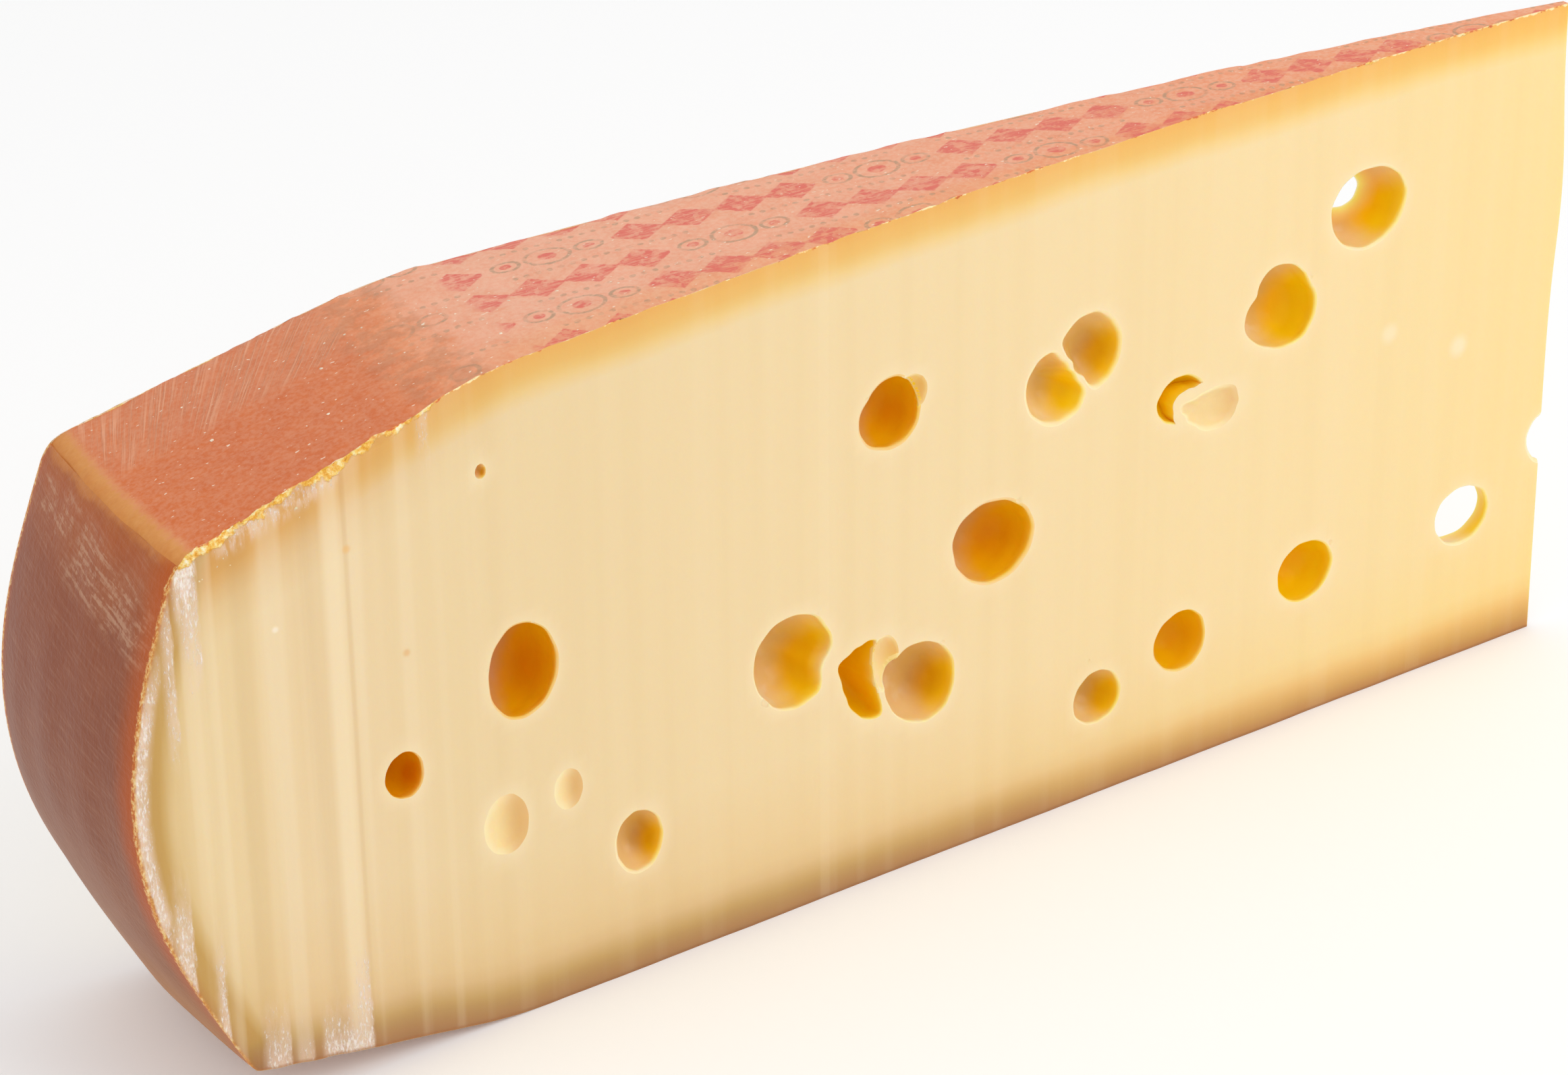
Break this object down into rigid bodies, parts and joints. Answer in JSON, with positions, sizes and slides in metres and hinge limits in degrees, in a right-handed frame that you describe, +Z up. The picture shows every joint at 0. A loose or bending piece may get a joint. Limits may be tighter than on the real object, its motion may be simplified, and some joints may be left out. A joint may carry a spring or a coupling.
{
  "type": "cheese wedge",
  "caption": "Narrow wedge of a large hard cheese wheel, with rind on top, below and round the rim, and round eyes in both cut faces.",
  "frame": {"origin": "centre of the bounding box at the height of the flat underside", "axes": "+Z up, +X from the rim to the thin tip, +Y from the front cut face to the back one"},
  "size_m": [0.4484, 0.084, 0.191],
  "materials": {
    "cheese": "waxy pale yellow cut cheese with a brown rind"
  },
  "bodies": {
    "root": {"cheese_wedge": "cheese"}
  },
  "joints": []
}
